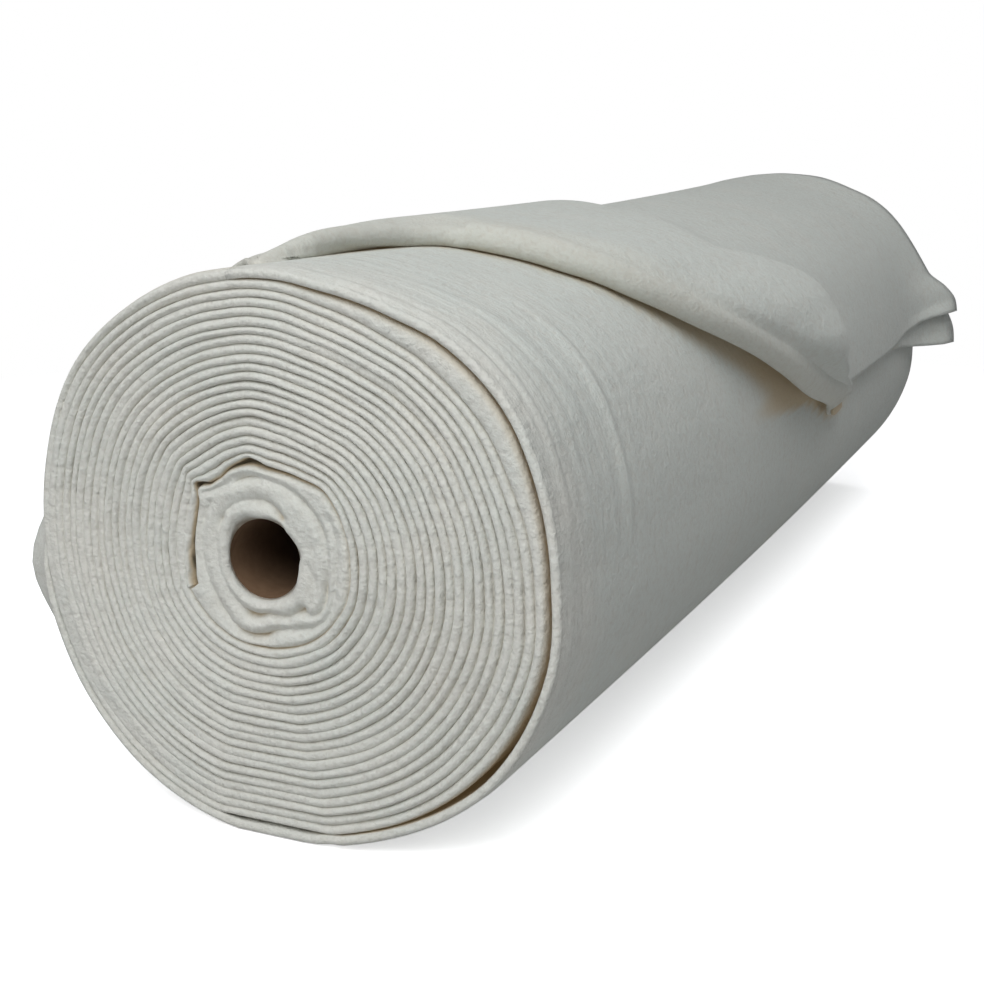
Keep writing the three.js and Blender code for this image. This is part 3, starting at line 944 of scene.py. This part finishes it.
def cloth_section(row, layer, layer_gap):
    """The single layer's middle line: the upper layer from the far edge to the near fold, round it, and the
    lower layer back again. Each point has its distance in, its height, how far it takes the height of the
    lying cloth, its share of the near bend's shift, and its layer, which is 1, -1 or 0 for the fold."""
    half = layer + layer_gap / 2
    stretch = row["stretch"]
    offset = (layer + layer_gap) / 2

    def sides(path, sign):
        points = []
        for i, (inward, height, fold, lying) in enumerate(path):
            before = path[max(i - 1, 0)]
            after = path[min(i + 1, len(path) - 1)]
            along = Vector(((after[0] - before[0]) / stretch, after[1] - before[1])).normalized()
            shift = sign * offset
            points.append((inward - shift * along.y * stretch, height + shift * along.x, lying, fold, sign))
        return points

    upper = cloth_path(row, half, UPPER)
    lower = cloth_path(row, half, LOWER)
    first, second = upper[0], upper[1]
    out = Vector(((first[0] - second[0]) / stretch, first[1] - second[1])).normalized()
    side = Vector((out.y, -out.x))
    fold = []
    for i in range(1, FOLD):
        turn = math.pi * i / FOLD
        shift = side * math.cos(turn) + out * math.sin(turn)
        fold.append((first[0] + shift.x * offset * stretch, first[1] + shift.y * offset, 0, 1, 0))
    return sides(upper, 1)[::-1] + fold + sides(lower, -1)


def edge_shift(turned, y, layer, fold):
    """How far the free end's edge is moved round the roll, in degrees."""
    near_edge = smooth((turned - LAST_TURNED) / EDGE_TURNED + 1)
    corner = smooth((y - ROLL_LENGTH) / EDGE_REACH + 1)
    shift = EDGE_UPPER if layer > 0 else EDGE_LOWER
    return near_edge * (shift * corner * abs(layer) + EDGE_LOWER * fold)


def support_radius(turned, y, doubled):
    """Radius of what the cloth lies on: the roll, or the second time round its own first turn."""
    roll = roll_radius(min(START_ANGLE - turned, STEP_ANGLE - 0.01), y)
    if turned < FULL_TURN:
        return roll
    return roll + read(LAST_TURN, turned - 360, "gap") + doubled


def ridge_height(turned, back):
    """Height of the soft ridges beside the near edge of the last turn."""
    if turned > RIDGES_TURNED or back > RIDGES_BACK:
        return 0
    angle = START_ANGLE - turned
    height = 0
    for ridge in RIDGES:
        share = (angle - ridge["from_angle"]) / (ridge["to_angle"] - ridge["from_angle"])
        if not 0 < share < 1:
            continue
        stray = 2.5 * ripple(angle * 0.05, ridge["from_back"], 0)
        place = mix(ridge["from_back"], ridge["to_back"], share) + stray
        fade = math.sin(math.pi * share) ** 0.6
        beside = (back - place) / ridge["width"]
        trough = 0.35 * math.exp(-((beside / 2.2) ** 2))
        height += ridge["height"] * fade * (math.exp(-beside * beside) - trough)
    return height


def cloth_painted_shade(turned, y, inward, side):
    """How much shade is painted at this place: inside the last turn, on the underside of the free end's near
    fold, and under the slanting fold, where it stands in for the fold's shadow.
    """
    if side < 0:
        open_gap = smooth((185 - turned) / 20) if turned < 300 else 1
        return 0.5 * open_gap * smooth(inward / 5) * smooth((ROLL_LENGTH - 150 - y) / 100)
    if turned > 300:
        return 0.4 if inward < 0 else 0.09 * smooth(1 - inward / 60)
    again = turned + 360
    if again < FULL_TURN or again > LAST_TURNED + 13:
        return 0
    last = min(again, LAST_TURNED)
    beyond = again - LAST_TURNED
    line = read(LAST_TURN, last, "back") + END_SLOPE * max(0, beyond)
    before = read(LAST_TURN, last - 1, "back")
    after = read(LAST_TURN, last + 1, "back")
    under = (y - line) / math.hypot(1, (after - before) / 2 / ARC)
    reach = read(UNDER_SHADE, again, "reach")
    shade = smooth((under + reach) / read(UNDER_SHADE, again, "soft"))
    tip = smooth((again - 425) / 12)
    past_edge = smooth((11 - beyond) / 5) * mix(1, smooth((780 - y) / 150), clamp(beyond))
    return mix(0.38, 0.5, tip) * shade * past_edge * smooth((y - 40) / 60)


def sunk(turned, y, near):
    """How far the cloth sinks into the roll at its near edge, where it starts to turn under."""
    before_corner = between(turned, *SINKING)
    at_corner = math.exp(-(((turned - 357) / 10) ** 2) - ((y - 24) / 52) ** 2)
    return 5.5 * before_corner * math.exp(-((near / 45) ** 2)) + 4.5 * at_corner


def loose_end_mesh(layer, layer_gap):
    """One layer thick, as a grid: its rows run across the cloth, from far edge to far edge."""
    half = layer + layer_gap / 2
    doubled = 2 * half
    rows = sheet_rows()
    sections = [cloth_section(row, layer, layer_gap) for row in rows]
    heights = ClothHeights(half)
    bm = bmesh.new()
    bm.verts.layers.float.new("hollow")

    tops = [cloth_path(row, half, LOWER)[-1][1] for row in rows]

    def place(column, r):
        row = rows[r]
        inward, height, lying, fold, side = sections[r][column]
        spread = smooth(inward / FAN_REACH)
        turning = TURN_REACH * (1 - math.exp(-inward / TURN_REACH)) if inward > 0 else inward
        turned = mix(row["turned"] + row["out"].x * turning / ARC, row["far_turned"], spread)
        y = row["back"] + inward - (1 - row["out"].y) * turning * (1 - spread)
        if lying:
            height += lying * (heights.at(turned, y) - tops[r])
        near = y - row["back"]
        height += read(STAND_OFF, turned, "lift") * smooth(1.3 - inward / (row["crest_at"] + 45))
        if side >= 0:
            height += ridge_height(turned, y)
        height -= DROOP * max(0, 1 - near / DROOP_REACH) ** 2 * (1 if side > 0 else 0.4)
        shift = edge_shift(turned, y, side, fold)
        angle = START_ANGLE - turned + shift
        gap = row["gap"] * mix(1, BULGE_FADE, clamp(y / ROLL_LENGTH))
        if BULGE_START < turned < BULGE_END:
            gap = mix(min(gap, -1), gap, smooth((inward - 1) / BULGE_OPENS))
        gap -= sunk(turned, y, near)
        radius = support_radius(turned - shift, y - HALF, doubled) + gap + height
        if turned < FULL_TURN:
            radius = flattened(radius, angle, doubled - height)
        return around_roll(angle, radius, y - HALF), cloth_painted_shade(turned, y, inward, side)

    moved_grid(bm, len(sections[0]) - 1, len(rows) - 1, place)
    return bm


# Settings


def millimetres(name, description, value):
    """A setting for a length."""
    return FloatProperty(name=name, description=description, default=value * MM, unit="LENGTH")


def watts(name, description, value):
    """A setting for a lamp's power."""
    return FloatProperty(name=name, description=description, default=value, unit="POWER")


def colour(name, description, value):
    """A setting for a colour, given as red, green and blue."""
    look = {"subtype": "COLOR", "size": 4, "min": 0, "max": 1}
    return FloatVectorProperty(name=name, description=description, default=(*value, 1), **look)


class BattingSizes(bpy.types.PropertyGroup):
    turns: IntProperty(name="Turns", description="Whole turns of the wound part", default=20, min=4, max=40)
    groove: millimetres("Groove", "Depth of the grooves between the turns at the ends", 4.4)
    layer: millimetres("Layer", "Thickness of one layer of batting", 2.9)
    layer_gap: millimetres("Layer gap", "Air between the two layers of the doubled batting", 0.7)


class TubeSizes(bpy.types.PropertyGroup):
    bore: millimetres("Bore", "Inner radius of the paper tube", 25.4)
    wall: millimetres("Wall", "Thickness of the paper tube", 3)
    inset: millimetres("Inset", "How far the tube's ends lie inside the roll's ends", 9)


class RollColours(bpy.types.PropertyGroup):
    batting: colour("Batting", "Main colour of the batting", (0.735, 0.732, 0.682))
    # Painted cool light: this colour also tints all but the near end; in the clouds it is the batting's own
    # tone.
    batting_cool_and_painted_light: colour("Batting, cool", "Cooler clouds in the batting", (0.675, 0.71, 0.672))
    batting_shade: colour("Batting, shade", "Colour between the fibres", (0.60, 0.592, 0.54))
    # Painted warm shade between the turns and under the folds.
    gap: colour("Gaps", "Warm colour between the turns", (0.55, 0.47, 0.34))
    # Painted glow in the gaps, which no lamp gives.
    gap_painted_glow: colour("Gaps, glow", "Light that comes through the batting in its gaps", (0.026, 0.018, 0.009))
    # Painted dark shade in the deepest creases and pits.
    pit: colour("Pits", "Colour of the deepest creases", (0.17, 0.14, 0.09))
    fleck: colour("Flecks", "Cotton seed flecks", (0.36, 0.27, 0.16))
    paper: colour("Paper", "Colour of the paper tube", (0.20, 0.125, 0.075))
    # Painted shade for the paper deep inside the tube.
    paper_painted_shade: colour("Paper, deep", "Paper far inside the tube", (0.014, 0.008, 0.004))
    paper_dark: colour("Paper, dark", "Seams and specks of the paper tube", (0.11, 0.065, 0.036))


class StageSizes(bpy.types.PropertyGroup):
    floor: millimetres("Floor", "Width of the floor", 14000)
    front: watts("Front lamp", "The lamp above the near end", 33.5)
    back: watts("Back lamp", "The lamp above the far end", 8)
    low: watts("Low lamp", "The low lamp in front", 9.5)
    side: watts("Side lamp", "The lamp on the right", 1.4)
    around: FloatProperty(name="Surroundings", description="Strength of light from all round", default=0.12)


class RollSettings(bpy.types.PropertyGroup):
    batting: PointerProperty(type=BattingSizes)
    tube: PointerProperty(type=TubeSizes)
    colours: PointerProperty(type=RollColours)
    stage: PointerProperty(type=StageSizes)


# Operators


def shared_batting(settings):
    return bpy.data.materials.get("needled_batting") or batting_finish(settings.colours)


class BATTING_OT_tube(bpy.types.Operator):
    """Make the paper tube"""

    bl_idname = "batting.tube"
    bl_label = "Paper tube"

    def execute(self, context):
        settings = context.scene.batting_roll
        sizes = settings.tube
        outer = sizes.bore + sizes.wall
        end = HALF * MM - sizes.inset
        bm = bmesh.new()
        corners = [(sizes.bore, -end), (outer, -end), (outer, end), (sizes.bore, end)]
        verts = [bm.verts.new((radius, y, 0)) for radius, y in corners]
        ring = verts + [bm.edges.new((verts[i], verts[(i + 1) % 4])) for i in range(4)]
        round_axis = {"cent": (0, 0, 0), "axis": (0, 1, 0), "angle": math.tau}
        bmesh.ops.spin(bm, geom=ring, steps=TUBE_STEPS, use_merge=True, **round_axis)
        bmesh.ops.remove_doubles(bm, verts=bm.verts, dist=1e-6)
        rims = [edge for edge in bm.edges if edge.is_manifold and edge.calc_face_angle() > 1]
        bmesh.ops.bevel(bm, geom=rims, offset=0.5 * MM, segments=2, profile=0.5, affect="EDGES", material=-1)
        bmesh.ops.translate(bm, verts=bm.verts, vec=(TUBE_X * MM, 0, TUBE_Z * MM))
        piece = finished_piece(bm, "paper_tube", paper_finish(settings.colours))
        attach(piece, "root")
        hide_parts("core_tube")
        return {"FINISHED"}


class BATTING_OT_wound_turns(bpy.types.Operator):
    """Make the tightly wound part, with its turns showing at both ends"""

    bl_idname = "batting.wound_turns"
    bl_label = "Wound turns"

    def execute(self, context):
        settings = context.scene.batting_roll
        bm = wound_turns_mesh(settings.batting.turns, settings.batting.groove / MM)
        piece = finished_piece(bm, "wound_turns", shared_batting(settings))
        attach(piece, "root")
        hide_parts("wound_roll")
        return {"FINISHED"}


class BATTING_OT_loose_end(bpy.types.Operator):
    """Make the last turn and the free end of the doubled batting"""

    bl_idname = "batting.loose_end"
    bl_label = "Loose end"

    def execute(self, context):
        settings = context.scene.batting_roll
        sizes = settings.batting
        bm = loose_end_mesh(sizes.layer / MM, sizes.layer_gap / MM)
        piece = finished_piece(bm, "loose_end_cloth", shared_batting(settings))
        thick = piece.modifiers.new("thickness", "SOLIDIFY")
        thick.thickness = sizes.layer
        thick.offset = 0
        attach(piece, "root")
        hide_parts("loose_end")
        return {"FINISHED"}


# The lamps, by their settings' names: where each stands, the point that it faces, and its width, in metres.
LAMPS = table(
    "name place target size",
    ("front", (0.35, -1.7, 1.9), (0, -0.1, 0.2), 1.6),
    ("back", (0.2, 0.8, 2.2), (0, -0.1, 0.2), 2),
    ("low", (-0.3, -3, 1), (0, -0.1, 0.2), 2),
    ("side", (1.5, 0.9, 1.3), (0, 0.2, 0.2), 1.4),
)
CAMERA = {"place": (0.4891, -1.3427, 0.4470), "tilt": 76.39, "turn": 24.36, "lens": 56.78}


def lamp(row, power):
    """A large square lamp that faces a point."""
    name = row["name"] + "_lamp"
    data = bpy.data.lights.new(name, "AREA")
    data.shape = "SQUARE"
    data.size = row["size"]
    data.energy = power
    piece = linked(name, data)
    piece.location = row["place"]
    facing = Vector(row["target"]) - Vector(row["place"])
    piece.rotation_euler = facing.to_track_quat("-Z", "Y").to_euler()


def seen_directly(nodes):
    """1 where the camera, a glossy surface or clear glass looks straight at this."""
    camera = nodes.add("ShaderNodeLightPath", output="Is Camera Ray")
    return camera + camera.other("Is Glossy Ray") + camera.other("Is Transmission Ray")


class BATTING_OT_stage(bpy.types.Operator):
    """Make the floor, the lamps, the surroundings and the camera"""

    bl_idname = "batting.stage"
    bl_label = "Stage"

    def execute(self, context):
        scene = context.scene
        sizes = scene.batting_roll.stage
        scene.view_settings.view_transform = "Standard"

        bm = bmesh.new()
        bmesh.ops.create_grid(bm, x_segments=1, y_segments=1, size=sizes.floor / 2)
        mesh = bpy.data.meshes.new("floor")
        bm.to_mesh(mesh)
        bm.free()
        floor = linked("floor", mesh)
        material, nodes = new_material("floor_white", WHITE)
        plain = nodes.add("ShaderNodeBsdfDiffuse", None, {"Color": (0.58, 0.58, 0.58, 1)})
        pale = nodes.add("ShaderNodeBsdfDiffuse", None, {"Color": (0.98, 0.98, 1, 1)})
        glow = nodes.add("ShaderNodeEmission", None, {"Color": WHITE, "Strength": 0.5})
        lit = nodes.add("ShaderNodeAddShader", None, {0: pale, 1: pale})
        near = nodes.add("ShaderNodeAddShader", None, {0: lit, 1: glow})
        white = nodes.add("ShaderNodeEmission", None, {"Color": WHITE, "Strength": 1})
        place = nodes.add("ShaderNodeTexCoord", output="Object")
        away = nodes.add("ShaderNodeVectorMath", {"operation": "LENGTH"}, {0: place}, output="Value")
        faded = nodes.ramp(away / 4, (0.2, 0.0), (0.4, 1.0))
        shown = nodes.add("ShaderNodeMixShader", None, {0: faded, 1: near, 2: white})
        either = nodes.add("ShaderNodeMixShader", None, {0: seen_directly(nodes), 1: plain, 2: shown})
        nodes.add("ShaderNodeOutputMaterial", None, {"Surface": either})
        mesh.materials.append(material)

        for row in LAMPS:
            lamp(row, getattr(sizes, row["name"]))

        world = bpy.data.worlds.new("surroundings")
        world.use_nodes = True
        scene.world = world
        nodes = Nodes(world.node_tree)
        values = {"Color": (0.96, 0.98, 1, 1), "Strength": sizes.around}
        soft = nodes.add("ShaderNodeBackground", None, values)
        white = nodes.add("ShaderNodeBackground", None, {"Color": WHITE, "Strength": 1})
        either = nodes.add("ShaderNodeMixShader", None, {0: seen_directly(nodes), 1: soft, 2: white})
        nodes.add("ShaderNodeOutputWorld", None, {"Surface": either})

        data = bpy.data.cameras.new("camera")
        data.lens = CAMERA["lens"]
        data.clip_start = 0.05
        camera = linked("camera", data)
        camera.location = CAMERA["place"]
        camera.rotation_euler = (math.radians(CAMERA["tilt"]), 0, math.radians(CAMERA["turn"]))
        scene.camera = camera
        return {"FINISHED"}


class BATTING_PT_panel(bpy.types.Panel):
    """Lists the pieces of the roll"""

    bl_idname = "BATTING_PT_panel"
    bl_label = "Batting roll"
    bl_space_type = "VIEW_3D"
    bl_region_type = "UI"
    bl_category = "Batting"

    def draw(self, context):
        layout = self.layout
        settings = context.scene.batting_roll
        for group in (settings.batting, settings.tube, settings.colours, settings.stage):
            box = layout.box()
            for name in group.bl_rna.properties.keys():
                if name not in ("rna_type", "name"):
                    box.prop(group, name)
        for operator in OPERATORS:
            layout.operator(operator.bl_idname)


OPERATORS = (BATTING_OT_tube, BATTING_OT_wound_turns, BATTING_OT_loose_end, BATTING_OT_stage)
CLASSES = (BattingSizes, TubeSizes, RollColours, StageSizes, RollSettings, *OPERATORS, BATTING_PT_panel)


def register():
    for cls in CLASSES:
        bpy.utils.register_class(cls)
    bpy.types.Scene.batting_roll = PointerProperty(type=RollSettings)


def unregister():
    del bpy.types.Scene.batting_roll
    for cls in reversed(CLASSES):
        bpy.utils.unregister_class(cls)


def main():
    register()
    bpy.ops.batting.tube()
    bpy.ops.batting.wound_turns()
    bpy.ops.batting.loose_end()
    bpy.ops.batting.stage()


if __name__ == "__main__":
    main()
